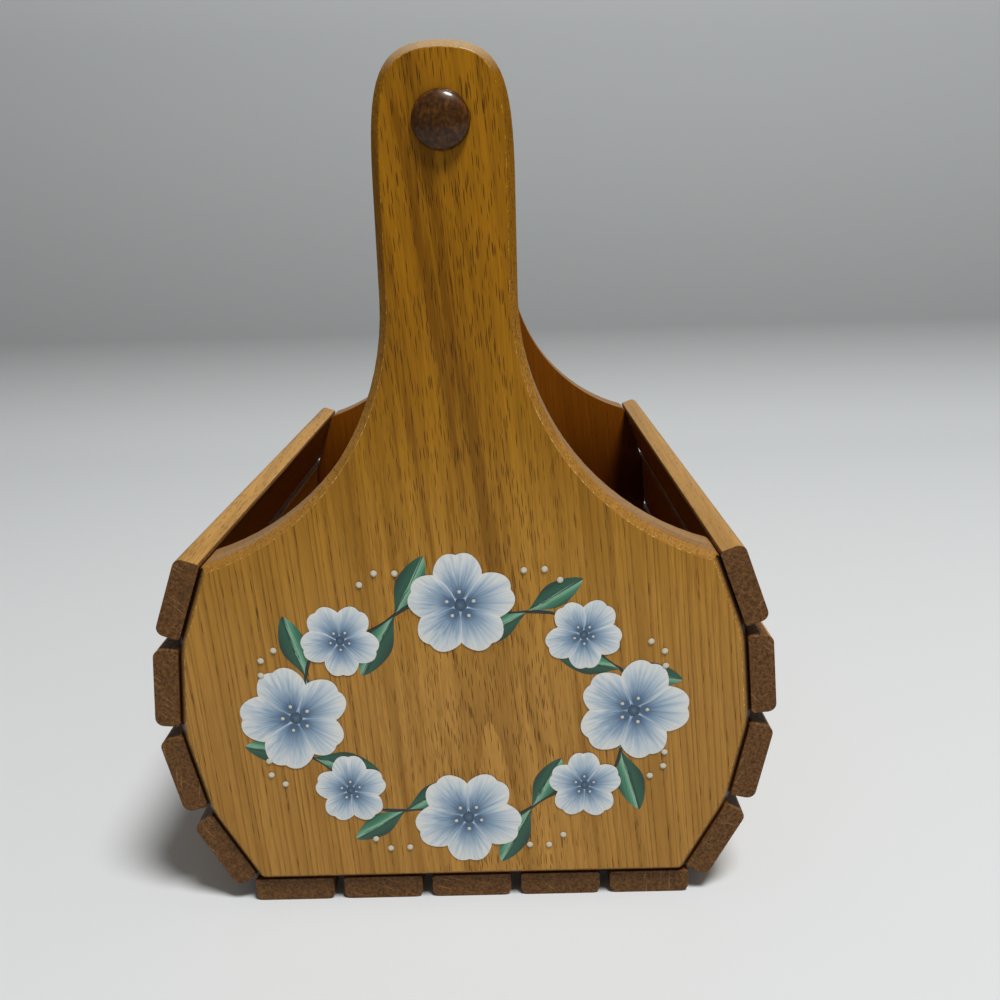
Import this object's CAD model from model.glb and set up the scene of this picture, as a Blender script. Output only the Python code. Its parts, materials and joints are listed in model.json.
# %% [markdown]
# A wood slat basket, dressed in Blender. The real one is a small shop project: two bell-shaped oak end
# panels, oak slats nailed along their lower edges, a dowel handle between the two necks, and a dark button
# plug over each handle screw. The solid parts come from the CAD frame, at their real size. This lesson
# gives them eased edges, wood grain, a painted wreath, lacquer and light.

# %% Load the frame
import json
import math
import random

import bpy
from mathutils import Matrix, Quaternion, Vector

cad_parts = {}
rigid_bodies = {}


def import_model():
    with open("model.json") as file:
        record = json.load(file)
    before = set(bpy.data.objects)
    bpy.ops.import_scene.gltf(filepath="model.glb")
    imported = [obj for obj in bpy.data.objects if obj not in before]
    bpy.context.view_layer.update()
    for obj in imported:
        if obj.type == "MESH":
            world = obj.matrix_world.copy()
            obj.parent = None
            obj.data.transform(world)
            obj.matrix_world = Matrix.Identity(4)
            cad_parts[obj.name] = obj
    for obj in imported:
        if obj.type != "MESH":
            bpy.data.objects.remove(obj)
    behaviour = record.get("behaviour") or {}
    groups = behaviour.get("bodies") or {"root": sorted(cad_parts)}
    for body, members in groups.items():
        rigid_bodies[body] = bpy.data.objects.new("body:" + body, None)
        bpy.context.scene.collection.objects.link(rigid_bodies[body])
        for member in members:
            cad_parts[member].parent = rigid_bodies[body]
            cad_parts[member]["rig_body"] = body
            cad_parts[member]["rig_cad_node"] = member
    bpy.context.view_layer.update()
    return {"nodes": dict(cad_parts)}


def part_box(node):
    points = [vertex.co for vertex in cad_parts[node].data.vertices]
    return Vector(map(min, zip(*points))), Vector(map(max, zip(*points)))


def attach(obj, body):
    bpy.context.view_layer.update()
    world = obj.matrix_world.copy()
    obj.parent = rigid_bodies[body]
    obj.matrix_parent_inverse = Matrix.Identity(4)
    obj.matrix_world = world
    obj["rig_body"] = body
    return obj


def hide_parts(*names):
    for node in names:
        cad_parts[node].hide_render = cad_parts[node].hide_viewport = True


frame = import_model()
MM = 0.001
print("CAD nodes:", len(frame["nodes"]))

# %% [markdown]
# The camera comes first, because it tells which faces matter. The photograph was taken by hand from close
# up, a little above the basket and almost square to its front, so the camera has a small roll. Its place
# was found by matching the panel's outline, the slat ends and the floor line to the photograph.

# %% Camera
CAMERA_PLACE = Vector((17.2, -463.3, 236.4)) * MM
CAMERA_YAW = math.radians(-0.54)
CAMERA_PITCH = math.radians(15.26)
CAMERA_ROLL = math.radians(-1.64)
FOCAL_LENGTH = 36.54
SENSOR_WIDTH = 36.0

sight = Vector((
    math.sin(CAMERA_YAW) * math.cos(CAMERA_PITCH),
    math.cos(CAMERA_YAW) * math.cos(CAMERA_PITCH),
    -math.sin(CAMERA_PITCH),
))
bpy.ops.object.camera_add(location=CAMERA_PLACE)
camera = bpy.context.active_object
camera.rotation_euler = (sight.to_track_quat("-Z", "Y") @ Quaternion((0, 0, 1), CAMERA_ROLL)).to_euler()
camera.data.lens = FOCAL_LENGTH
camera.data.sensor_width = SENSOR_WIDTH
bpy.context.scene.camera = camera
print("camera looks along", [round(part, 3) for part in sight])

# %% [markdown]
# Operators act on whatever is selected, so three small helpers keep that under control. One leaves a single
# object selected and active. One goes to edit mode with only those corners, edges or faces picked that pass
# a test. The last makes a test on an edge out of a test on the place of its two ends.

# %% Selecting by place
PICK_MODES = {"vertices": "VERT", "edges": "EDGE", "polygons": "FACE"}


def only(piece):
    """Leaves one object selected and active."""
    bpy.ops.object.select_all(action="DESELECT")
    piece.select_set(True)
    bpy.context.view_layer.objects.active = piece
    return piece


def pick(piece, kind, wanted):
    """Goes to edit mode with only the corners, edges or faces that pass the test."""
    bpy.ops.object.mode_set(mode="EDIT")
    bpy.ops.mesh.select_mode(type=PICK_MODES[kind])
    bpy.ops.mesh.select_all(action="DESELECT")
    bpy.ops.object.mode_set(mode="OBJECT")
    for part in getattr(piece.data, kind):
        part.select = wanted(part)
    bpy.ops.object.mode_set(mode="EDIT")


def both_ends(piece, wanted):
    """A test on an edge: both its ends have to pass a test on their place."""
    return lambda edge: all(wanted(piece.data.vertices[i].co) for i in edge.vertices)


print("picking works on", ", ".join(PICK_MODES))

# %% [markdown]
# A sawn board keeps its outline from the CAD, so each board starts as a copy of its node. The node's mesh
# is loose triangles, and a bevel needs whole faces, so the copy is merged and its flat triangles are
# dissolved.

# %% Boards from the frame
MERGE_DISTANCE = 0.001 * MM
FLAT_ANGLE = math.radians(0.3)


def board_from(node, name):
    """A working copy of a CAD board, with its loose triangles merged into whole faces."""
    only(frame["nodes"][node])
    bpy.ops.object.duplicate()
    board = bpy.context.active_object
    board.name = board.data.name = name
    board.parent = None
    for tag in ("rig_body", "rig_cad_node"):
        del board[tag]
    board.data.materials.clear()
    bpy.ops.object.mode_set(mode="EDIT")
    bpy.ops.mesh.select_all(action="SELECT")
    bpy.ops.mesh.remove_doubles(threshold=MERGE_DISTANCE)
    bpy.ops.mesh.dissolve_limited(angle_limit=FLAT_ANGLE)
    bpy.ops.object.mode_set(mode="OBJECT")
    return board


boards = {}
print("boards to copy:", sum(name.endswith(("_panel", *"12345")) for name in frame["nodes"]))

# %% [markdown]
# No wooden edge is knife sharp: sandpaper and lacquer round it, and the round catches a thin line of light.
# A bevel on the picked edges does that. The weighted normals then keep the big flat faces flat to the eye
# while the narrow rounds beside them shade smoothly.

# %% Eased edges
SHARP_ANGLE = math.radians(25)
SMOOTH_ANGLE = math.radians(40)


def ease(board, radius, segments, wanted):
    """Rounds the sharp edges whose two ends pass the test."""
    bpy.ops.object.mode_set(mode="EDIT")
    bpy.ops.mesh.select_mode(type="EDGE")
    bpy.ops.mesh.select_all(action="DESELECT")
    bpy.ops.mesh.edges_select_sharp(sharpness=SHARP_ANGLE)
    bpy.ops.object.mode_set(mode="OBJECT")
    sharp = {edge.index for edge in board.data.edges if edge.select}
    in_place = both_ends(board, wanted)
    pick(board, "edges", lambda edge: edge.index in sharp and in_place(edge))
    bpy.ops.mesh.bevel(offset=radius, segments=segments, affect="EDGES", clamp_overlap=True)
    bpy.ops.object.mode_set(mode="OBJECT")


def shade(piece):
    """Smooth shading on rounds, with flat faces kept flat."""
    only(piece)
    bpy.ops.object.shade_smooth_by_angle(angle=SMOOTH_ANGLE)
    bpy.ops.object.modifier_add(type="WEIGHTED_NORMAL")
    piece.modifiers[-1].keep_sharp = True
    bpy.ops.object.modifier_apply(modifier=piece.modifiers[-1].name)
    return piece


print("edges count as sharp over", round(math.degrees(SHARP_ANGLE)), "degrees")

# %% [markdown]
# Wood is not painted on: its grain runs through the board. A pattern that reads world places would give
# every slat a piece of one huge tree, so each board remembers instead where it lay in its own log. An
# attribute called grain holds, for every corner, the distance across, through and along the grain from the
# heart of that log. It is a plain linear map, so it stays exact however coarse the mesh is.

# %% Grain coordinates
X_AXIS = Vector((1, 0, 0))
Y_AXIS = Vector((0, 1, 0))
Z_AXIS = Vector((0, 0, 1))


def lay_grain(board, across, through, along, heart):
    """Stores where each corner lay in the log, in metres from its heart."""
    grain = board.data.attributes.new("grain", "FLOAT_VECTOR", "POINT")
    for corner in board.data.vertices:
        place = Vector((corner.co.dot(across), corner.co.dot(through), corner.co.dot(along)))
        grain.data[corner.index].vector = place - heart
    return board


print("grain runs up the panels and along the slats")

# %% [markdown]
# The end panels are the eye-catchers: one bell-shaped board each, its outer arris cut back by a chamfer.
# Every arris of the outline gets a small round. The parts of a panel took the finish in different ways, so
# their faces go to different material slots: the smooth face, the chamfer cut slantwise through the grain,
# the inside that got stain but no lacquer, and the chipped arris of the chamfer. Where the chamfer meets
# the slats it makes a groove that holds stain and dust, so it has a slot of its own.

# %% End panels
PANEL_EASE = 0.4 * MM
EASE_SEGMENTS = 3
NEAR_FACE = 3 * MM
HANDLE_CLEAR = 12 * MM
FACE_LEAN, ARRIS_LEAN, CHAMFER_LEAN = 0.97, 0.85, 0.3
GROOVE_RISE = 0.5
FACE_SLOT, CUT_SLOT, INSIDE_SLOT, ARRIS_SLOT, GROOVE_SLOT = range(5)
FRONT_HEART = Vector((14, -115, 30)) * MM
REAR_HEART = Vector((-38, 175, 400)) * MM
GROOVE_TOP = max(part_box(f"left_slat_{number}")[1].z for number in (1, 2, 3, 4))
handle_low, handle_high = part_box("handle_dowel")
HANDLE_AXIS = (handle_low + handle_high) / 2


def from_handle(place):
    """How far a place lies from the handle's axis."""
    return math.hypot(place.x - HANDLE_AXIS.x, place.z - HANDLE_AXIS.z)


def panel_slot(face, outward):
    """The material slot of a panel's face; outward is the sign of the panel's outer side along Y."""
    lean = face.normal.y * outward
    if lean > FACE_LEAN or abs(lean) < CHAMFER_LEAN:
        return FACE_SLOT
    if lean < 0:
        return INSIDE_SLOT
    if lean > ARRIS_LEAN:
        return ARRIS_SLOT
    return GROOVE_SLOT if face.center.z < GROOVE_TOP and face.normal.z < GROOVE_RISE else CUT_SLOT


def end_panel(end, heart):
    """One end panel with eased arrises and its faces sorted into slots."""
    low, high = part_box(f"{end}_end_panel")
    panel = board_from(f"{end}_end_panel", f"{end}_panel_board")

    def on_outline(place):
        near_face = min(place.y - low.y, high.y - place.y) < NEAR_FACE
        return near_face and from_handle(place) > HANDLE_CLEAR

    ease(panel, PANEL_EASE, EASE_SEGMENTS, on_outline)
    for face in panel.data.polygons:
        face.material_index = panel_slot(face, math.copysign(1, low.y + high.y))
    boards[f"{end}_end_panel"] = shade(lay_grain(panel, X_AXIS, Y_AXIS, Z_AXIS, heart))


end_panel("front", FRONT_HEART)
end_panel("rear", REAR_HEART)
print("front panel:", len(boards["front_end_panel"].data.polygons), "faces")

# %% [markdown]
# Thirteen slats run from panel to panel, nailed to the panels' lower edges. Their long edges are round
# already in the CAD, so only the sawn ends need easing, and hardly that: a saw leaves them crisp. The
# normal of a slat's widest face tells which way the slat is turned. Its sawn ends and the edges in the gaps
# drank the stain, and so did the inside. Only the basket's rim, on top of the two highest slats, is
# lacquered like the outside. Each slat is given a different place in the log, so that no two ends show the
# same rings.

# %% Slats
SLAT_EASE = 0.25 * MM
END_DEPTH = 0.1 * MM
HEART_ASIDE = 75 * MM
HEART_BELOW = (20 * MM, 70 * MM)
LOG_LENGTH = 3.0
END_FACING = 0.35
BASKET_MIDDLE = Vector((0, 0, 90)) * MM
slat_nodes = sorted(name for name in frame["nodes"] if "_slat_" in name and not name.endswith("nail"))
dice = random.Random(11)


def slat_slot(face, outward, has_rim):
    """The material slot of a slat's face."""
    facing = face.normal.dot(outward)
    on_rim = has_rim and face.normal.z > GROOVE_RISE
    if facing < -FACE_LEAN:
        return INSIDE_SLOT
    if abs(face.normal.y) > END_FACING or (facing < GROOVE_RISE and not on_rim):
        return CUT_SLOT
    return FACE_SLOT


def slat_board(node):
    """One slat with eased ends and its faces sorted into slots."""
    slat = board_from(node, f"{node}_board")
    end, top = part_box(node)[1].yz
    middle = sum(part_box(node), Vector()) / 2
    outward = max(slat.data.polygons, key=lambda face: face.area).normal.copy()
    if outward.dot(middle - BASKET_MIDDLE) < 0:
        outward.negate()
    across = Y_AXIS.cross(outward)
    ease(slat, SLAT_EASE, EASE_SEGMENTS, lambda place: abs(place.y) > end - END_DEPTH)
    for face in slat.data.polygons:
        face.material_index = slat_slot(face, outward, top > GROOVE_TOP - MM)
    heart = Vector((
        middle.dot(across) + dice.uniform(-HEART_ASIDE, HEART_ASIDE),
        middle.dot(outward) + dice.choice((-1, 1)) * dice.uniform(*HEART_BELOW),
        dice.uniform(-LOG_LENGTH, LOG_LENGTH),
    ))
    boards[node] = shade(lay_grain(slat, across, outward, Y_AXIS, heart))


for slat_node in slat_nodes:
    slat_board(slat_node)
print("slats:", len(slat_nodes), "each of", len(boards[slat_nodes[0]].data.polygons), "faces")

# %% [markdown]
# The handle is a bought dowel, screwed on from outside through both necks. A cylinder is the start: its two
# end faces are inset and pushed in for the screws' pilot holes, and its end arrises are eased.

# %% Handle dowel
DOWEL_SIDES = 96
DOWEL_EASE = 0.8 * MM
PILOT_RADIUS = 2.4 * MM
PILOT_DEPTH = 34 * MM
DOWEL_HEART = Vector((9, 21, 0)) * MM
dowel_radius = (handle_high.x - handle_low.x) / 2

bpy.ops.object.select_all(action="DESELECT")
bpy.ops.mesh.primitive_cylinder_add(
    vertices=DOWEL_SIDES,
    radius=dowel_radius,
    depth=handle_high.y - handle_low.y,
    location=HANDLE_AXIS,
    rotation=(math.pi / 2, 0, 0),
)
handle_rod = bpy.context.active_object
handle_rod.name = handle_rod.data.name = "handle_rod"
bpy.ops.object.transform_apply(location=True, rotation=True, scale=True)
for facing in (-1, 1):
    pick(handle_rod, "polygons", lambda face: face.normal.y * facing > END_FACING)
    bpy.ops.mesh.inset(thickness=dowel_radius - PILOT_RADIUS)
    bpy.ops.mesh.extrude_region_move(TRANSFORM_OT_translate={"value": (0, -facing * PILOT_DEPTH, 0)})
bpy.ops.object.mode_set(mode="OBJECT")
ease(handle_rod, DOWEL_EASE, EASE_SEGMENTS, lambda place: from_handle(place) > dowel_radius / 2)
boards["handle_dowel"] = shade(lay_grain(handle_rod, X_AXIS, Z_AXIS, Y_AXIS, DOWEL_HEART + HANDLE_AXIS))
print("dowel:", round(2 * dowel_radius / MM, 1), "mm thick,", len(handle_rod.data.polygons), "faces")

# %% [markdown]
# A button plug is a small turned mushroom: a domed head that sits on the panel and a tenon that fills the
# counterbore over the screw. A sphere is flattened to the dome, cut in half at the rim, and its open edge
# is drawn back to the panel, in to the tenon and down the hole.

# %% Button plugs
BUTTON_SEGMENTS = 64
BUTTON_RINGS = 32
BUTTON_RIM = 0.9 * MM
RIM_REACH = 10 * MERGE_DISTANCE
TENON_RADIUS = 6.35 * MM
TENON_LENGTH = 5 * MM


def draw_edge(push, scale, centre):
    """Extrudes the picked open edge along Y and draws it in or out about the button's axis."""
    bpy.ops.mesh.extrude_edges_move(TRANSFORM_OT_translate={"value": (0, push, 0)})
    bpy.ops.transform.resize(value=(scale, 1, scale), center_override=centre)


def button_plug(end, outward):
    """One button plug on the outer face; outward is the sign of that face along Y."""
    low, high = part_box(f"{end}_button")
    radius = (high.x - low.x) / 2
    seat = low.y + TENON_LENGTH if outward > 0 else high.y - TENON_LENGTH
    crown = high.y if outward > 0 else low.y
    rim = seat + outward * BUTTON_RIM
    centre = Vector((HANDLE_AXIS.x, rim, HANDLE_AXIS.z))
    bpy.ops.object.select_all(action="DESELECT")
    bpy.ops.mesh.primitive_uv_sphere_add(
        segments=BUTTON_SEGMENTS,
        ring_count=BUTTON_RINGS,
        radius=radius,
        location=centre,
        rotation=(math.pi / 2, 0, 0),
    )
    plug = bpy.context.active_object
    plug.name = plug.data.name = f"{end}_button_plug"
    bpy.ops.object.transform_apply(location=True, rotation=True, scale=True)
    bpy.ops.object.mode_set(mode="EDIT")
    bpy.ops.mesh.select_all(action="SELECT")
    bpy.ops.transform.resize(value=(1, abs(crown - rim) / radius, 1), center_override=centre)
    bpy.ops.mesh.bisect(
        plane_co=centre, plane_no=(0, outward, 0), clear_inner=True, threshold=MERGE_DISTANCE,
    )
    bpy.ops.object.mode_set(mode="OBJECT")
    pick(plug, "edges", both_ends(plug, lambda place: abs(place.y - rim) < RIM_REACH))
    draw_edge(-outward * BUTTON_RIM, 1, centre)
    draw_edge(0, TENON_RADIUS / radius, centre)
    draw_edge(-outward * TENON_LENGTH, 1, centre)
    bpy.ops.mesh.edge_face_add()
    bpy.ops.mesh.select_all(action="SELECT")
    bpy.ops.mesh.remove_doubles(threshold=MERGE_DISTANCE)
    bpy.ops.mesh.normals_make_consistent(inside=False)
    bpy.ops.object.mode_set(mode="OBJECT")
    boards[f"{end}_button"] = shade(lay_grain(plug, X_AXIS, Y_AXIS, Z_AXIS, Vector()))


button_plug("front", -1)
button_plug("rear", 1)

# %% [markdown]
# The front is decorated by hand with a painted wreath: small five-petal blossoms, leaves and berries on an
# oval vine, a motif found on much country woodwork. Paint lies on the wood as a thin raised film, so each
# brush mark is modelled as a flat closed drop. A ring of corners is shaped by proportional moves, as if
# pulled with a soft brush, and then drawn inwards ring by ring. The rings also serve the colour: an
# attribute called stroke keeps how far a corner lies from the rim, how far round from the tip, and how far
# across.

# %% One brush mark
MARK_CORNERS = 36
MARK_RINGS = 8
PAINT_FILM = 0.12 * MM
RING_SHRINK = 0.80
PINCH_REACH = 0.75


def brush_mark(name, length, width, base_pinch, tip_pull, tip_reach, heart):
    """A drop of paint in the X-Z plane, base at the origin, tip up; heart is where its rings meet."""
    bpy.ops.object.select_all(action="DESELECT")
    bpy.ops.mesh.primitive_circle_add(
        vertices=MARK_CORNERS, radius=length / 2, location=(0, 0, length / 2), rotation=(math.pi / 2, 0, 0),
    )
    mark = bpy.context.active_object
    mark.name = mark.data.name = name
    bpy.ops.object.transform_apply(location=True, rotation=True, scale=True)
    bpy.ops.object.mode_set(mode="EDIT")
    bpy.ops.mesh.select_all(action="SELECT")
    bpy.ops.transform.resize(value=(width / length, 1, 1), center_override=(0, 0, length / 2))
    bpy.ops.object.mode_set(mode="OBJECT")
    base = min(mark.data.vertices, key=lambda corner: corner.co.z).index
    tip = max(mark.data.vertices, key=lambda corner: corner.co.z).index
    pick(mark, "vertices", lambda corner: corner.index == base)
    bpy.ops.transform.resize(
        value=(base_pinch, 1, 1), center_override=(0, 0, 0), use_proportional_edit=True,
        proportional_edit_falloff="SMOOTH", proportional_size=PINCH_REACH * length,
    )
    pick(mark, "vertices", lambda corner: corner.index == tip)
    bpy.ops.transform.translate(
        value=(0, 0, tip_pull), use_proportional_edit=True,
        proportional_edit_falloff="SHARP", proportional_size=tip_reach,
    )
    bpy.ops.mesh.select_all(action="SELECT")
    for ring in range(MARK_RINGS):
        film = PAINT_FILM / (ring + 1) ** 2
        bpy.ops.mesh.extrude_edges_move(TRANSFORM_OT_translate={"value": (0, -film, 0)})
        bpy.ops.transform.resize(
            value=(RING_SHRINK, 1, RING_SHRINK), center_override=(0, 0, heart * length),
        )
    bpy.ops.mesh.edge_face_add()
    pick(mark, "vertices", lambda corner: corner.index < MARK_CORNERS)
    bpy.ops.mesh.edge_face_add()
    bpy.ops.mesh.select_all(action="SELECT")
    bpy.ops.mesh.normals_make_consistent(inside=False)
    bpy.ops.object.mode_set(mode="OBJECT")
    bpy.ops.object.shade_smooth_by_angle(angle=SMOOTH_ANGLE)
    stroke = mark.data.attributes.new("stroke", "FLOAT_VECTOR", "POINT")
    for corner in mark.data.vertices:
        rim_distance = corner.index // MARK_CORNERS / MARK_RINGS
        around = (corner.index - tip) % MARK_CORNERS
        fan = 2 * min(around, MARK_CORNERS - around) / MARK_CORNERS
        stroke.data[corner.index].vector = (rim_distance, fan, 0.5 + corner.co.x / width)
    return mark


print("a mark has", MARK_RINGS, "rings of", MARK_CORNERS, "corners")

# %% [markdown]
# Three marks are enough for the whole wreath. A petal is pinched at its base and a little dented at its
# rim, a leaf is pulled out to a point, and a dab is what the tip of a round brush leaves.

# %% Petal, leaf and dab
DAB_LENGTH = 2.2 * MM
petal_mark = brush_mark(
    "petal_mark", length=14 * MM, width=12.5 * MM, base_pinch=0.2,
    tip_pull=-1.3 * MM, tip_reach=5.5 * MM, heart=0.04,
)
leaf_mark = brush_mark(
    "leaf_mark", length=21 * MM, width=11 * MM, base_pinch=0.12,
    tip_pull=5 * MM, tip_reach=12 * MM, heart=0.45,
)
dab_mark = brush_mark(
    "dab_mark", length=DAB_LENGTH, width=2.1 * MM, base_pinch=0.95,
    tip_pull=0.0, tip_reach=1 * MM, heart=0.5,
)
print("petal faces:", len(petal_mark.data.polygons))

# %% [markdown]
# The wreath is laid out on an oval, as with a template. Each mark is a copy with its own mesh, turned in
# the plane of the panel and laid a hair's breadth higher than what was painted before it. A turn of zero
# points up, and a positive one to the right.

# %% Laying marks
FRONT_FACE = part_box("front_end_panel")[0].y
WREATH_CENTRE = (0.0, 74 * MM)
WREATH_RADII = (58 * MM, 40 * MM)


def on_oval(angle, out=0.0):
    """A place on the wreath's oval, or out of it by some distance, and the outward direction there."""
    x = WREATH_CENTRE[0] + (WREATH_RADII[0] + out) * math.cos(angle)
    z = WREATH_CENTRE[1] + (WREATH_RADII[1] + out) * math.sin(angle)
    return x, z, math.atan2(math.cos(angle) * WREATH_RADII[1], math.sin(angle) * WREATH_RADII[0])


def towards(x, z, turn, distance):
    """The place at some distance from another in the direction of a turn."""
    return x + distance * math.sin(turn), z + distance * math.cos(turn)


def lay(mark, x, z, turn, size, lift):
    """A copy of a brush mark on the front face."""
    only(mark)
    bpy.ops.object.duplicate()
    copy = bpy.context.active_object
    copy.location = (x, FRONT_FACE - lift, z)
    copy.rotation_euler = (0, turn, 0)
    copy.scale = (size, 1, size)
    bpy.ops.object.transform_apply(location=True, rotation=True, scale=True)
    return copy


def join(copies, name):
    """Joins marks of one colour into one painted piece."""
    bpy.ops.object.select_all(action="DESELECT")
    for copy in copies:
        copy.select_set(True)
    bpy.context.view_layer.objects.active = copies[0]
    bpy.ops.object.join()
    copies[0].name = copies[0].data.name = name
    return copies[0]


print("oval in mm:", [round(2 * radius / MM) for radius in WREATH_RADII])

# %% [markdown]
# Blossoms stand at equal steps round the oval, large and small by turns. Each has an eye and a ring of
# stamens. Between two blossoms, leaves fork off the vine and three berries sit outside. A brush never
# repeats itself, so petals and leaves vary a little in turn and size.

# %% Wreath
BLOSSOMS = 8
BLOSSOM_SIZES = (1.35, 0.95)
PETALS = 5
PETAL_START = 0.6 * MM
PETAL_WOBBLE = 0.06
PETAL_SIZES = (0.94, 1.04)
EYE_SIZE = 1.7
STAMEN_RING = 2.9 * MM
STAMEN_SIZE = 0.5
LEAF_FORKS = (0.75, -2.35)
LEAF_SIZES = (0.82, 0.98)
BERRY_STEP = 0.09
BERRY_OUT, BERRY_DIP = 15 * MM, 2 * MM
LEAF_LIFT, PETAL_LIFT, DAB_LIFT = 0.04 * MM, 0.2 * MM, 0.32 * MM
PETAL_STEP = 0.015 * MM

marks = {"petals": [], "leaves": [], "eyes": [], "berries": []}
for blossom in range(BLOSSOMS):
    angle = math.tau * blossom / BLOSSOMS + math.pi / 2
    size = BLOSSOM_SIZES[blossom % 2]
    eye = EYE_SIZE * size
    x, z, outward = on_oval(angle)
    marks["eyes"].append(lay(dab_mark, x, z - eye * DAB_LENGTH / 2, 0, eye, DAB_LIFT))
    for petal in range(PETALS):
        turn = outward + math.tau * petal / PETALS + dice.uniform(-PETAL_WOBBLE, PETAL_WOBBLE)
        marks["petals"].append(lay(
            petal_mark, *towards(x, z, turn, PETAL_START * size), turn,
            size * dice.uniform(*PETAL_SIZES), PETAL_LIFT + petal * PETAL_STEP,
        ))
        marks["berries"].append(lay(
            dab_mark, *towards(x, z, turn, STAMEN_RING * size), turn, STAMEN_SIZE * size, DAB_LIFT,
        ))
    between = angle + math.pi / BLOSSOMS
    x, z, outward = on_oval(between)
    for fork in LEAF_FORKS:
        marks["leaves"].append(lay(leaf_mark, x, z, outward + fork, dice.uniform(*LEAF_SIZES), LEAF_LIFT))
    for step in (-1, 0, 1):
        x, z, outward = on_oval(between + BERRY_STEP * step, BERRY_OUT - abs(step) * BERRY_DIP)
        marks["berries"].append(lay(dab_mark, x, z, outward, 1.0, DAB_LIFT))
painted = {kind: join(copies, f"painted_{kind}") for kind, copies in marks.items()}
for template in (petal_mark, leaf_mark, dab_mark):
    bpy.data.objects.remove(template)
print("wreath:", BLOSSOMS, "blossoms,", len(LEAF_FORKS) * BLOSSOMS, "leaves")

# %% [markdown]
# The vine is one unbroken liner stroke. A closed curve with a round section follows the oval in a slow
# wave, is pressed flat against the panel, and becomes a mesh.

# %% Vine
VINE_POINTS = 96
VINE_WAVES = 8
VINE_SWING = 2.4 * MM
VINE_RADIUS = 0.55 * MM
VINE_ROUNDNESS = 2
VINE_SWELL = 0.35
SWELLS_PER_WAVE = 3
VINE_PRESS = 0.12
VINE_LIFT = 0.01 * MM

vine_curve = bpy.data.curves.new("painted_vine", "CURVE")
vine_curve.dimensions = "3D"
vine_curve.bevel_depth = VINE_RADIUS
vine_curve.bevel_resolution = VINE_ROUNDNESS
vine_line = vine_curve.splines.new("POLY")
vine_line.points.add(VINE_POINTS - 1)
for index, point in enumerate(vine_line.points):
    angle = math.tau * index / VINE_POINTS
    x, z, _ = on_oval(angle, VINE_SWING * math.sin(VINE_WAVES * angle))
    point.co = (x, 0, z, 1)
    point.radius = 1 + VINE_SWELL * math.sin(SWELLS_PER_WAVE * VINE_WAVES * angle)
vine_line.use_cyclic_u = True
vine = bpy.data.objects.new("painted_vine", vine_curve)
bpy.context.scene.collection.objects.link(vine)
only(vine)
bpy.ops.object.convert(target="MESH")
vine.scale = (1, VINE_PRESS, 1)
vine.location = (0, FRONT_FACE - VINE_LIFT - VINE_PRESS * VINE_RADIUS / 2, 0)
bpy.ops.object.transform_apply(location=True, rotation=True, scale=True)
bpy.ops.object.shade_smooth()
painted["vine"] = vine
print("vine faces:", len(vine.data.polygons))

# %% [markdown]
# Colours are written as the sRGB hex values that a paint program shows, and one function turns them into
# the linear numbers that the shaders need. One more adds a node with its settings and links, so that every
# material below reads as a short list of what happens to the surface. A node that is given as a value
# stands for its first output: the result of a sum, the strength of a noise, the colour of a ramp. A Mix
# node keeps sockets for numbers and for colours side by side, so those are named by their place.

# %% Colour and node helpers
NUMBER_A, NUMBER_B = 2, 3
MIX_A, MIX_B, MIX_OUT = 6, 7, 2


def linear(hex_colour):
    """An sRGB hex colour as linear red, green, blue and alpha."""
    parts = [int(hex_colour[i:i + 2], 16) / 255 for i in (0, 2, 4)]
    return [part / 12.92 if part <= 0.04045 else ((part + 0.055) / 1.055) ** 2.4 for part in parts] + [1.0]


def add(tree, kind, sockets=None, stops=None, **settings):
    """Adds one node with its settings, its socket values or links, and a ramp's stops."""
    made = tree.nodes.new(f"ShaderNode{kind}")
    for setting, value in settings.items():
        setattr(made, setting, value)
    for socket, value in (sockets or {}).items():
        if isinstance(value, bpy.types.Node):
            value = value.outputs[0]
        if isinstance(value, bpy.types.NodeSocket):
            tree.links.new(value, made.inputs[socket])
        else:
            made.inputs[socket].default_value = value
    if stops:
        made.color_ramp.elements.remove(made.color_ramp.elements[1])
        made.color_ramp.elements[0].position = stops[0][0]
        made.color_ramp.elements[0].color = stops[0][1]
        for position, colour in stops[1:]:
            made.color_ramp.elements.new(position).color = colour
    return made


def new_material(name):
    """An empty node material and its tree."""
    material = bpy.data.materials.new(name)
    material.use_nodes = True
    material.node_tree.nodes.clear()
    return material, material.node_tree


def per_mm(*sizes):
    """How many pattern cells fit in a metre, for cells of these sizes in millimetres."""
    return [1 / (size * MM) for size in sizes]


print("a mid brown in linear light:", [round(part, 3) for part in linear("a0722f")[:3]])

# %% [markdown]
# Oak grows in rings round the heart of its trunk, so the pattern is built as the tree was, from where a
# point lay in the log. No trunk is quite straight: the place is leaned a little, and a slow noise sways it.
# Every pattern size below is in millimetres, across the grain, through the board and along the grain.

# %% Place in the log
SWAY_SIZE = (55, 55, 260)
SWAY = 5 * MM


def log_place(tree, tilt):
    """Where a point lies in its log, with the trunk's lean and sway."""
    grain = add(tree, "Attribute", attribute_name="grain")
    leaned = add(tree, "Mapping", {"Vector": grain.outputs["Vector"], "Rotation": tilt})
    slow = add(tree, "VectorMath", {0: leaned, 1: per_mm(*SWAY_SIZE)}, operation="MULTIPLY")
    sway = add(tree, "TexNoise", {"Vector": slow, "Scale": 1.0, "Detail": 2.0})
    return add(
        tree, "VectorMath", {0: sway.outputs["Color"], 1: (SWAY, SWAY, 0), 2: leaned},
        operation="MULTIPLY_ADD",
    )


print("the trunk sways by", round(SWAY / MM), "mm over", SWAY_SIZE[2], "mm")

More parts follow.
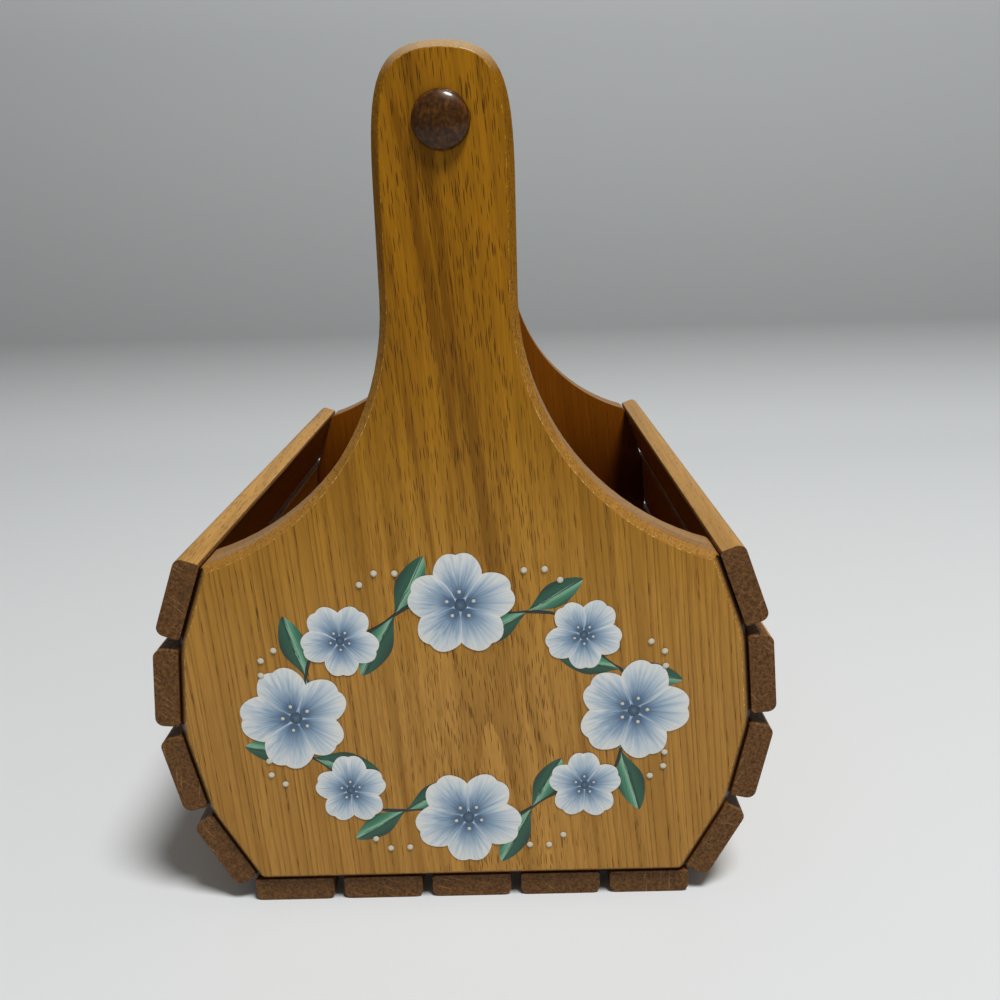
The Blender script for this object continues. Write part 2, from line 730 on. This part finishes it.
# %% [markdown]
# Each spring the oak lays down a band of wide open pores, and in summer dense smooth wood. Where the saw
# crosses the rings squarely, the spring bands become fine dark lines. The distance from the heart over the
# width of a ring counts the years. A noise makes some years wider than others, and a fine one frays the
# bands. How far a point lies aside of the heart tells how squarely its ring was crossed.

# %% Growth rings
RING_WIDTH = 2.2
YEAR_SPAN = 8
YEAR_SWING = 3.0
FEATHER_SIZE = (1.5, 1.5, 30)
FEATHER = 0.25
ALONG_RING, ACROSS_RING = 0.5, 0.85
LEVEL = (1, 1, 0)
SPRING_STOPS = [(0.0, (1, 1, 1, 1)), (0.14, (0.8, 0.8, 0.8, 1)), (0.24, (0.25, 0.25, 0.25, 1)),
                (0.5, (0.06, 0.06, 0.06, 1)), (0.94, (0, 0, 0, 1)), (1.0, (0.95, 0.95, 0.95, 1))]


def growth_rings(tree, place):
    """The spring wood at a point, a random number for its year, and how squarely its ring was crossed."""
    parts = add(tree, "SeparateXYZ", {0: place})
    level = add(tree, "VectorMath", {0: place, 1: LEVEL}, operation="MULTIPLY")
    radius = add(tree, "VectorMath", {0: level}, operation="LENGTH").outputs["Value"]
    aside = add(tree, "Math", {0: parts.outputs["X"], 1: radius}, operation="DIVIDE")
    slant = add(tree, "Math", {0: aside}, operation="ABSOLUTE")
    crossing = add(tree, "MapRange", {"Value": slant, "From Min": ALONG_RING, "From Max": ACROSS_RING})
    years = add(
        tree, "TexNoise", {"W": radius, "Scale": per_mm(YEAR_SPAN)[0], "Detail": 2.0}, noise_dimensions="1D",
    )
    even = add(tree, "Math", {0: radius, 1: per_mm(RING_WIDTH)[0]}, operation="MULTIPLY")
    uneven = add(tree, "Math", {0: years, 1: YEAR_SWING, 2: even}, operation="MULTIPLY_ADD")
    strands = add(tree, "VectorMath", {0: place, 1: per_mm(*FEATHER_SIZE)}, operation="MULTIPLY")
    feather = add(tree, "TexNoise", {"Vector": strands, "Scale": 1.0, "Detail": 2.0})
    ragged = add(tree, "Math", {0: feather, 1: FEATHER, 2: uneven}, operation="MULTIPLY_ADD")
    phase = add(tree, "Math", {0: ragged}, operation="FRACT")
    spring = add(tree, "ValToRGB", {"Fac": phase}, stops=SPRING_STOPS)
    count = add(tree, "Math", {0: ragged}, operation="FLOOR")
    year = add(tree, "TexWhiteNoise", {"W": count}, noise_dimensions="1D")
    return spring, year, crossing


print("rings every", RING_WIDTH, "mm")

# %% [markdown]
# Where the saw runs along a ring, it opens the pores lengthwise, and they show as short dark dashes. A cell
# pattern stretched along the grain gives one pore to each cell, at about its real width of a quarter of a
# millimetre. Only some of the pores hold stain.

# %% Pore dashes
PORE_SIZE = (0.5, 0.5, 9)


def pore_dashes(tree, place, spring, crossing):
    """Short dark dashes along the grain: everywhere along a ring, only in the spring wood across it."""
    cells = add(tree, "VectorMath", {0: place, 1: per_mm(*PORE_SIZE)}, operation="MULTIPLY")
    pores = add(tree, "TexVoronoi", {"Vector": cells, "Scale": 1.0})
    dash = add(
        tree, "MapRange", {"Value": pores, "From Min": 0.35, "From Max": 0.23},
        interpolation_type="SMOOTHSTEP",
    )
    filled = add(tree, "MapRange", {"Value": pores.outputs["Color"], "From Min": 0.1, "From Max": 0.45})
    opened = add(tree, "MapRange", {"Value": crossing, "To Min": 1.0, "To Max": 0.15})
    share = add(tree, "Math", {0: opened, 1: spring}, operation="MAXIMUM")
    stained = add(tree, "Math", {0: dash, 1: filled}, operation="MULTIPLY")
    return add(tree, "Math", {0: stained, 1: share}, operation="MULTIPLY")


print("pores", PORE_SIZE[2], "mm long")

# %% [markdown]
# Smoky stripes drift along the grain, where the stain took unevenly, and fine fibres fray them. Where the
# saw crossed the rings squarely, the stripes lie so close that they blur, so there they settle to an even
# haze. A few years are dark all over.

# %% Smoke in the grain
SMOKE_SIZE = (6, 6, 200)
SMOKE_LEAN = (0, math.radians(3), 0)
FRAY = 0.8
EVEN_HAZE = 0.27


def smoke_veil(tree, place, fibre, year, crossing):
    """How much smoke lies over a point."""
    leaned = add(tree, "Mapping", {"Vector": place, "Rotation": SMOKE_LEAN})
    drift = add(tree, "VectorMath", {0: leaned, 1: per_mm(*SMOKE_SIZE)}, operation="MULTIPLY")
    cloud = add(tree, "TexNoise", {"Vector": drift, "Scale": 1.0, "Detail": 2.0})
    frayed = add(tree, "Math", {0: fibre, 1: FRAY, 2: cloud}, operation="MULTIPLY_ADD")
    stripes = add(tree, "MapRange", {"Value": frayed, "From Min": 0.89, "From Max": 1.07, "To Max": 0.72})
    settled = add(tree, "MapRange", {"Value": crossing, "To Max": 0.6})
    calm = add(tree, "Mix", {0: settled, NUMBER_A: stripes, NUMBER_B: EVEN_HAZE})
    dark_year = add(tree, "MapRange", {"Value": year, "From Min": 0.75, "To Max": 0.4})
    return add(tree, "Math", {0: calm, 1: dark_year}, operation="MAXIMUM")


print("smoke stripes", SMOKE_SIZE[0], "mm wide")

# %% [markdown]
# Use and gravity tone a finish by place, which a pattern can't know, so a glaze does it: it reads the
# height, or the distance from the middle, and fades in from one value to another. And where an edge cuts
# across upright grain, as on the shoulders and the head, the wood shows its end: it is duller there, and
# the strokes of the sander run along it. The surface normal tells how far an edge cuts across.

# %% Glazes and sanded edges
SANDING_SIZE = (40, 4, 40)


def glazed(tree, colour, glaze, axis, start, full, blend="MULTIPLY"):
    """The colour under a glaze that begins at one distance along an axis and is full at another."""
    place = add(tree, "TexCoord")
    parts = add(tree, "SeparateXYZ", {0: place.outputs["Object"]})
    distance = add(tree, "Math", {0: parts.outputs[axis]}, operation="ABSOLUTE")
    share = add(
        tree, "MapRange", {"Value": distance, "From Min": start, "From Max": full},
        interpolation_type="SMOOTHSTEP",
    )
    mixed = add(
        tree, "Mix", {0: share, MIX_A: colour, MIX_B: linear(glaze)}, data_type="RGBA", blend_type=blend,
    )
    return mixed.outputs[MIX_OUT]


def edge_tone(tree, place, colour, tones):
    """The duller tone of edges that cut across upright grain, streaked along the edge by sanding."""
    normal = add(tree, "NewGeometry").outputs["Normal"]
    upward = add(tree, "VectorMath", {0: normal, 1: Z_AXIS}, operation="DOT_PRODUCT")
    across_grain = add(tree, "Math", {0: upward.outputs["Value"]}, operation="ABSOLUTE")
    share = add(tree, "MapRange", {"Value": across_grain, "From Min": 0.35, "From Max": 0.9, "To Max": 0.75})
    strokes = add(tree, "VectorMath", {0: place, 1: per_mm(*SANDING_SIZE)}, operation="MULTIPLY")
    sanding = add(tree, "TexNoise", {"Vector": strokes, "Scale": 1.0, "Detail": 2.0})
    edge = add(
        tree, "ValToRGB", {"Fac": sanding},
        stops=[(0.4, linear(tones["edge"])), (0.62, linear(tones["smoke"]))],
    )
    mixed = add(tree, "Mix", {0: share, MIX_A: colour, MIX_B: edge}, data_type="RGBA")
    return mixed.outputs[MIX_OUT]


print("sander's strokes", SANDING_SIZE[0], "mm long")

# %% [markdown]
# The oak is stained honey and lacquered satin. Summer wood is golden, spring wood browner, smoke lies over
# both, and the pores hold dark stain. Fine fibres make the tone shimmer. Where a cutter tore the surface,
# the fibres are short and shimmer more. The lacquer is a thin clear coat over all that, which sinks a
# little into the pores.

# %% Lacquered oak
FINE_FIBRE = (0.6, 0.6, 30)
TORN_FIBRE = (0.5, 0.5, 0.8)
EVEN_SHINE, TORN_SHINE = 0.24, 0.5
PORE_DARKNESS = 0.8
OAK_IOR = 1.5


def oak(name, tilt, tones, finish, fibre_size=FINE_FIBRE, shine=EVEN_SHINE):
    """Honey-stained oak under satin lacquer: golden, with fine dark lines and dashes along the grain."""
    material, tree = new_material(name)
    place = log_place(tree, tilt)
    spring, year, crossing = growth_rings(tree, place)
    dashes = pore_dashes(tree, place, spring, crossing)
    threads = add(tree, "VectorMath", {0: place, 1: per_mm(*fibre_size)}, operation="MULTIPLY")
    fibre = add(tree, "TexNoise", {"Vector": threads, "Scale": 1.0, "Detail": 3.0})
    strength = add(tree, "MapRange", {"Value": year, "To Min": 0.3, "To Max": 0.62})
    clear = add(tree, "MapRange", {"Value": crossing, "To Min": 0.3, "To Max": 1.0})
    part = add(tree, "Math", {0: strength, 1: clear}, operation="MULTIPLY")
    lines = add(tree, "Math", {0: spring, 1: part}, operation="MULTIPLY")
    veil = smoke_veil(tree, place, fibre, year, crossing)
    dark = add(tree, "Math", {0: dashes, 1: PORE_DARKNESS}, operation="MULTIPLY")
    colour = linear(tones["summer"])
    for share, tone in ((lines, "spring"), (veil, "smoke"), (dark, "pore")):
        mixed = add(tree, "Mix", {0: share, MIX_A: colour, MIX_B: linear(tones[tone])}, data_type="RGBA")
        colour = mixed.outputs[MIX_OUT]
    shimmer = add(tree, "MapRange", {
        "Value": fibre, "From Min": 0.25, "From Max": 0.75, "To Min": 1 - shine, "To Max": 1 + shine,
    })
    colour = add(tree, "HueSaturation", {"Value": shimmer, "Color": colour})
    for glaze in tones.get("glazes", ()):
        colour = glazed(tree, colour, *glaze)
    if "edge" in tones:
        colour = edge_tone(tree, place, colour, tones)
    rough = add(tree, "MapRange", {"Value": dashes, "To Min": 0.36, "To Max": 0.6})
    relief = add(tree, "Bump", {"Strength": 0.35, "Distance": 0.12 * MM, "Height": dashes}, invert=True)
    wood = add(tree, "BsdfPrincipled", {
        "Base Color": colour, "Roughness": rough, "IOR": OAK_IOR, "Normal": relief, **finish,
    })
    add(tree, "OutputMaterial", {"Surface": wood})
    return material


print("fibres", FINE_FIBRE[0], "mm thick, lacquer index", OAK_IOR)

# %% [markdown]
# One oak serves the whole basket, with tones and a finish for each place. The panels' necks have yellowed
# and are dark from hands, and the top edge of the head is rubbed pale. The slats are paler and less grained
# than the panels. The inside got stain but no lacquer, and the stain ran down and gathered low. In the
# groove beside the slats it stayed nearly black.

# %% Oak finishes
UPRIGHT_TILT = (math.radians(1.4), math.radians(4), 0)
LENGTH_TILT = (math.radians(0.8), 0, 0)
SATIN = {"Specular IOR Level": 0.1, "Coat Weight": 0.12, "Coat Roughness": 0.14}
THIN = {"Specular IOR Level": 0.15, "Coat Weight": 0.08, "Coat Roughness": 0.3}
BARE = {"Specular IOR Level": 0.1}
YELLOWED = ("fffc54", "Z", 70 * MM, 190 * MM)
HANDLED = ("d6c8ff", "Z", 90 * MM, 210 * MM)
GRASPED = ("dccd58", "Z", 160 * MM, 240 * MM)
RUBBED = ("757060", "Z", 278 * MM, 288 * MM, "SCREEN")
POOLED = ("a48c6c", "Z", 140 * MM, 80 * MM)
GATHERED = ("30200f", "Y", 145.7 * MM, 144.2 * MM)
CHAMFER_TONES = {"summer": "986c2e", "spring": "825a22", "smoke": "7a541c", "pore": "604214"}
INSIDE_TONES = {"summer": "7c4407", "spring": "663605", "smoke": "5e3205", "pore": "502a04"}

panel_oak = oak("lacquered_oak_panel", UPRIGHT_TILT, {
    "summer": "b6853e", "spring": "603a0c", "smoke": "70480a", "pore": "482603", "edge": "866640",
    "glazes": [YELLOWED, HANDLED],
}, SATIN)
chamfer_oak = oak(
    "lacquered_oak_chamfer", UPRIGHT_TILT, {**CHAMFER_TONES, "glazes": [GRASPED, RUBBED]}, SATIN,
    TORN_FIBRE, TORN_SHINE,
)
groove_oak = oak(
    "stained_oak_groove", UPRIGHT_TILT, {**CHAMFER_TONES, "glazes": [GATHERED]}, THIN,
    TORN_FIBRE, TORN_SHINE,
)
slat_oak = oak("lacquered_oak_slat", LENGTH_TILT, {
    "summer": "b0823c", "spring": "8c642a", "smoke": "866026", "pore": "66461a",
}, THIN)
dowel_oak = oak("lacquered_oak_dowel", LENGTH_TILT, {
    "summer": "a3752a", "spring": "7d531c", "smoke": "7a5420", "pore": "664618",
}, SATIN)
inside_oak = oak("stained_oak_inside", UPRIGHT_TILT, {**INSIDE_TONES, "glazes": [POOLED]}, BARE)
gap_oak = oak("stained_oak_slat", LENGTH_TILT, INSIDE_TONES, BARE)
print("oak nodes:", len(panel_oak.node_tree.nodes))

# %% [markdown]
# A router bit tears the oak a little along the chamfer's arris. The lacquer makes those chips glint, so a
# broken pale line runs round the panel.

# %% Chipped arris
CHIP_SIZE = 1.1


def chipped_arris(name, tone, chip):
    """A routed arris: brown, broken by pale chips that catch the light."""
    material, tree = new_material(name)
    place = add(tree, "TexCoord").outputs["Object"]
    chips = add(tree, "TexNoise", {"Vector": place, "Scale": per_mm(CHIP_SIZE)[0], "Detail": 2.0})
    colour = add(tree, "ValToRGB", {"Fac": chips}, stops=[(0.5, linear(tone)), (0.68, linear(chip))])
    handled = glazed(tree, colour, *GRASPED)
    wood = add(tree, "BsdfPrincipled", {"Base Color": handled, "Roughness": 0.4, **SATIN})
    add(tree, "OutputMaterial", {"Surface": wood})
    return material


arris_oak = chipped_arris("chipped_oak_arris", "986a2a", "c8a260")
print("arris nodes:", len(arris_oak.node_tree.nodes))

# %% [markdown]
# A sawn slat end shows the wood from its tip: open pores drink the stain and turn it chocolate brown, and
# the pale rays that run out from the heart stay as thin scratches of light. The same log coordinates serve,
# read as an angle and a radius, so the rays really point away from the heart. Real pores are a third of a
# millimetre wide and would blur in the picture, so here they are drawn about twice as coarse.

# %% Oak end grain
RAY_SPACING = 2.0
RAY_LENGTH = 34
RAY_RADIUS = 65
END_PORE_SIZE = (0.8, 0.8, 40)
PATCH_SIZE = 1.2


def oak_end_grain(name, brown, tan, ray, pore):
    """Sawn end grain: dark where the pores drank stain, with pale thin rays and a dull surface."""
    material, tree = new_material(name)
    place = log_place(tree, LENGTH_TILT)
    spring, _, _ = growth_rings(tree, place)
    parts = add(tree, "SeparateXYZ", {0: place})
    turn = add(tree, "Math", {0: parts.outputs["Y"], 1: parts.outputs["X"]}, operation="ARCTAN2")
    level = add(tree, "VectorMath", {0: place, 1: LEVEL}, operation="MULTIPLY")
    radius = add(tree, "VectorMath", {0: level}, operation="LENGTH").outputs["Value"]
    spokes = add(tree, "Math", {0: turn, 1: RAY_RADIUS / RAY_SPACING}, operation="MULTIPLY")
    reach = add(tree, "Math", {0: radius, 1: per_mm(RAY_LENGTH)[0]}, operation="MULTIPLY")
    polar = add(tree, "CombineXYZ", {"X": spokes, "Y": reach})
    rays = add(tree, "TexVoronoi", {"Vector": polar, "Scale": 1.0}, voronoi_dimensions="2D")
    ray_line = add(tree, "MapRange", {"Value": rays, "From Min": 0.13, "From Max": 0.03, "To Max": 0.7})
    cells = add(tree, "VectorMath", {0: place, 1: per_mm(*END_PORE_SIZE)}, operation="MULTIPLY")
    pores = add(tree, "TexVoronoi", {"Vector": cells, "Scale": 1.0})
    dot = add(tree, "MapRange", {"Value": pores, "From Min": 0.5, "From Max": 0.2, "To Max": 0.8})
    share = add(tree, "MapRange", {"Value": spring, "To Min": 0.35, "To Max": 1.0})
    hole = add(tree, "Math", {0: dot, 1: share}, operation="MULTIPLY")
    patches = add(
        tree, "TexNoise", {"Vector": place, "Scale": per_mm(PATCH_SIZE)[0], "Detail": 4.0, "Roughness": 0.7},
    )
    colour = add(tree, "ValToRGB", {"Fac": patches}, stops=[(0.35, linear(brown)), (0.68, linear(tan))])
    for share, tone in ((ray_line, ray), (hole, pore)):
        mixed = add(tree, "Mix", {0: share, MIX_A: colour, MIX_B: linear(tone)}, data_type="RGBA")
        colour = mixed.outputs[MIX_OUT]
    relief = add(tree, "Bump", {"Strength": 0.5, "Distance": 0.2 * MM, "Height": hole}, invert=True)
    wood = add(tree, "BsdfPrincipled", {
        "Base Color": colour, "Roughness": 0.55, "IOR": OAK_IOR, "Normal": relief, "Specular IOR Level": 0.2,
    })
    add(tree, "OutputMaterial", {"Surface": wood})
    return material


slat_end = oak_end_grain("oak_end_grain", "462c12", "7a5228", "8f6c44", "2a1808")
print("end grain nodes:", len(slat_end.node_tree.nodes))

# %% [markdown]
# The button plugs are a darker wood, stained to walnut and thickly lacquered. Hardly any grain shows under
# that: a soft mottle, and a hard bright highlight from the clear coat.

# %% Lacquered walnut
MOTTLE_SIZE = (1.3, 1.3, 1.7)


def lacquered_walnut(name):
    """Dark walnut stain under thick gloss lacquer: nearly black-brown, with a sharp highlight."""
    material, tree = new_material(name)
    place = log_place(tree, LENGTH_TILT)
    cells = add(tree, "VectorMath", {0: place, 1: per_mm(*MOTTLE_SIZE)}, operation="MULTIPLY")
    mottle = add(tree, "TexNoise", {"Vector": cells, "Scale": 1.0, "Detail": 4.0})
    colour = add(
        tree, "ValToRGB", {"Fac": mottle},
        stops=[(0.3, linear("2a1603")), (0.5, linear("3e2206")), (0.7, linear("5a380e"))],
    )
    relief = add(tree, "Bump", {"Strength": 0.3, "Distance": 0.1 * MM, "Height": mottle})
    wood = add(tree, "BsdfPrincipled", {
        "Base Color": colour, "Roughness": 0.35, "IOR": OAK_IOR, "Normal": relief,
        "Specular IOR Level": 0.12, "Coat Weight": 0.3, "Coat Roughness": 0.12,
    })
    add(tree, "OutputMaterial", {"Surface": wood})
    return material


walnut = lacquered_walnut("lacquered_walnut")
print("walnut nodes:", len(walnut.node_tree.nodes))

# %% [markdown]
# Nails and screws are drawn steel wire. Bright from the box, it greys with handling, so a fine noise moves
# both its tone and its roughness. The real specks are finer still, and are drawn at half a millimetre so
# that they show.

# %% Steel wire
STEEL_SPECK = 0.5


def steel_wire(name):
    """Drawn steel, slightly dulled: grey metal with a soft uneven shine."""
    material, tree = new_material(name)
    place = add(tree, "TexCoord").outputs["Object"]
    speck = add(tree, "TexNoise", {"Vector": place, "Scale": per_mm(STEEL_SPECK)[0], "Detail": 2.0})
    colour = add(tree, "ValToRGB", {"Fac": speck}, stops=[(0.3, linear("5c5a56")), (0.7, linear("98968f"))])
    rough = add(tree, "MapRange", {"Value": speck, "To Min": 0.3, "To Max": 0.55})
    metal = add(tree, "BsdfPrincipled", {"Base Color": colour, "Metallic": 1.0, "Roughness": rough})
    add(tree, "OutputMaterial", {"Surface": metal})
    return material


steel = steel_wire("steel_wire")
print("steel nodes:", len(steel.node_tree.nodes))

# %% [markdown]
# Craft acrylics are laid on with a brush that holds two colours at once, so a petal runs from white at its
# rim to slate blue at its base, with streaks of the hairs fanning out between them. A leaf has a dark half
# and a light half, and its streaks run along it. The stroke attribute gives the way from one colour to the
# other, and a noise stretched along the stroke frays it. Single hairs are too fine to see, so the streaks
# are drawn as wide as tufts of them.

# %% Acrylic paints
RIM_WAY, ACROSS_WAY = "X", "Z"
FAN_HAIRS = (1.5, 20, 0)
LONG_HAIRS = (1, 2, 22)
STREAK_LENGTH = 9
PAINT_IOR = 1.5


def acrylic(name, way, hair_counts, fray, colours):
    """Brushed craft acrylic under lacquer: colours that blend across the stroke, frayed by the hairs."""
    material, tree = new_material(name)
    stroke = add(tree, "Attribute", attribute_name="stroke").outputs["Vector"]
    parts = add(tree, "SeparateXYZ", {0: stroke})
    hairs = add(tree, "VectorMath", {0: stroke, 1: hair_counts}, operation="MULTIPLY")
    place = add(tree, "TexCoord").outputs["Object"]
    spread = add(
        tree, "VectorMath", {0: place, 1: 3 * per_mm(STREAK_LENGTH), 2: hairs}, operation="MULTIPLY_ADD",
    )
    noise = add(tree, "TexNoise", {"Vector": spread, "Scale": 1.0, "Detail": 3.0})
    streak = add(tree, "MapRange", {
        "Value": noise, "From Min": 0.25, "From Max": 0.75, "To Min": -fray, "To Max": fray,
    })
    frayed = add(tree, "Math", {0: parts.outputs[way], 1: streak}, operation="ADD")
    blend = add(
        tree, "ValToRGB", {"Fac": frayed}, stops=[(position, linear(colour)) for position, colour in colours],
    )
    relief = add(tree, "Bump", {"Strength": 0.2, "Distance": 0.05 * MM, "Height": noise})
    paint = add(tree, "BsdfPrincipled", {
        "Base Color": blend, "Roughness": 0.42, "IOR": PAINT_IOR, "Normal": relief,
        "Coat Weight": 0.25, "Coat Roughness": 0.25,
    })
    add(tree, "OutputMaterial", {"Surface": paint})
    return material


paints = {
    "petals": acrylic("acrylic_blue_white", RIM_WAY, FAN_HAIRS, fray=0.16, colours=[
        (0.0, "d8d8d2"), (0.14, "c0cad0"), (0.4, "8ca2b6"), (0.75, "587592"), (1.0, "3d5873"),
    ]),
    "leaves": acrylic("acrylic_leaf_green", ACROSS_WAY, LONG_HAIRS, fray=0.07, colours=[
        (0.05, "0c3324"), (0.4, "17523a"), (0.48, "0b2c1f"),
        (0.54, "7fae8f"), (0.7, "35795a"), (0.95, "14482f"),
    ]),
    "eyes": acrylic("acrylic_slate", RIM_WAY, FAN_HAIRS, fray=0.3, colours=[
        (0.0, "24394e"), (1.0, "4a6680"),
    ]),
    "vine": acrylic("acrylic_vine_green", RIM_WAY, FAN_HAIRS, fray=0.3, colours=[
        (0.0, "181d14"), (1.0, "242f20"),
    ]),
    "berries": acrylic("acrylic_cream", RIM_WAY, FAN_HAIRS, fray=0.3, colours=[
        (0.0, "b9b29e"), (1.0, "d6d0bd"),
    ]),
}
print("paints:", [paint.name for paint in paints.values()])

# %% [markdown]
# Now each piece gets its finish, rides on the basket's one body, and stands in for the CAD node that it was
# made from. Nails and screws keep their CAD shape and only change material.

# %% Dress the pieces
PANEL_FINISH = ("panel_oak", panel_oak, chamfer_oak, inside_oak, arris_oak, groove_oak)
SLAT_FINISH = ("slat_oak", slat_oak, slat_end, gap_oak)
FINISHES = {
    "front_end_panel": PANEL_FINISH,
    "rear_end_panel": PANEL_FINISH,
    "handle_dowel": ("dowel_oak", dowel_oak),
    "front_button": ("button_walnut", walnut),
    "rear_button": ("button_walnut", walnut),
}
for node, board in boards.items():
    slot, *materials = FINISHES.get(node, SLAT_FINISH)
    for material in materials:
        board.data.materials.append(material)
    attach(board, "root")
    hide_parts(node)
for kind, paint in paints.items():
    painted[kind].data.materials.append(paint)
    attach(painted[kind], "root")
fasteners = [node for node in frame["nodes"] if node.endswith(("_nail", "_screw"))]
for node in fasteners:
    frame["nodes"][node].data.materials.clear()
    frame["nodes"][node].data.materials.append(steel)
print("dressed:", len(boards), "boards,", len(fasteners), "fasteners")

# %% [markdown]
# The stage is a plain pale floor with a backdrop that curves up behind it, so that no line cuts through the
# picture. It is one sheet: a plane whose far edge is drawn up, with a large round in the fold.

# %% Stage
FLOOR_SIZE = 8.0
BACKDROP_AT = 1.1
BACKDROP_HEIGHT = 2.0
SWEEP_RADIUS = 0.5
SWEEP_SEGMENTS = 24

bpy.ops.object.select_all(action="DESELECT")
bpy.ops.mesh.primitive_plane_add(size=FLOOR_SIZE, location=(0, BACKDROP_AT - FLOOR_SIZE / 2, 0))
floor = bpy.context.active_object
floor.name = floor.data.name = "studio_floor"
bpy.ops.object.transform_apply(location=True, rotation=True, scale=True)
pick(floor, "edges", both_ends(floor, lambda place: place.y > BACKDROP_AT - MM))
bpy.ops.mesh.extrude_edges_move(TRANSFORM_OT_translate={"value": (0, 0, BACKDROP_HEIGHT)})
bpy.ops.object.mode_set(mode="OBJECT")
pick(floor, "edges", both_ends(floor, lambda place: place.y > BACKDROP_AT - MM and place.z < MM))
bpy.ops.mesh.bevel(offset=SWEEP_RADIUS, segments=SWEEP_SEGMENTS, affect="EDGES")
bpy.ops.object.mode_set(mode="OBJECT")
bpy.ops.object.shade_smooth()
print("floor faces:", len(floor.data.polygons))

# %% [markdown]
# The sheet is matt studio paper, graded so that the wood stands out from it: pale on the floor, grey where
# it begins to rise, and a little paler again higher up. A ramp on the height does that.

# %% Floor paper
WALL_HEIGHT = 0.55

paper, paper_tree = new_material("graded_matt_paper")
paper_place = add(paper_tree, "TexCoord")
paper_height = add(paper_tree, "SeparateXYZ", {0: paper_place.outputs["Object"]})
paper_grade = add(paper_tree, "MapRange", {"Value": paper_height.outputs["Z"], "From Max": WALL_HEIGHT})
paper_tone = add(
    paper_tree, "ValToRGB", {"Fac": paper_grade},
    stops=[(0.0, linear("c8caca")), (0.18, linear("8a8c8c")), (1.0, linear("b0b2b2"))],
)
paper_face = add(paper_tree, "BsdfPrincipled", {"Base Color": paper_tone, "Roughness": 0.9})
add(paper_tree, "OutputMaterial", {"Surface": paper_face})
floor.data.materials.append(paper)
print("paper nodes:", len(paper_tree.nodes))

# %% [markdown]
# One soft round lamp hangs high in front and to the right, like a ceiling light, so the shadow falls to the
# left. Even room light fills the rest. Satin lacquer mirrors whatever stands opposite, and with no lamp at
# eye level the colour stays deep.

# %% Lamps
WORLD_LIGHT = 0.22
KEY_PLACE = Vector((0.5, -0.78, 2.1))
KEY_SIZE = 0.6
KEY_POWER = 56.0
AIM = Vector((0, 0, 0.12))

world = bpy.data.worlds.new("studio")
world.use_nodes = True
world.node_tree.nodes.clear()
sky = add(world.node_tree, "Background", {"Color": linear("eef0f2"), "Strength": WORLD_LIGHT})
add(world.node_tree, "OutputWorld", {"Surface": sky})
bpy.context.scene.world = world

bpy.ops.object.light_add(type="AREA", location=KEY_PLACE)
ceiling_lamp = bpy.context.active_object
ceiling_lamp.name = ceiling_lamp.data.name = "ceiling_soft_light"
ceiling_lamp.data.shape = "DISK"
ceiling_lamp.data.size = KEY_SIZE
ceiling_lamp.data.energy = KEY_POWER
ceiling_lamp.rotation_euler = (AIM - KEY_PLACE).to_track_quat("-Z", "Y").to_euler()
bpy.context.scene.view_settings.view_transform = "Standard"
print("lamp:", ceiling_lamp.name, KEY_POWER, "W, room light", WORLD_LIGHT)
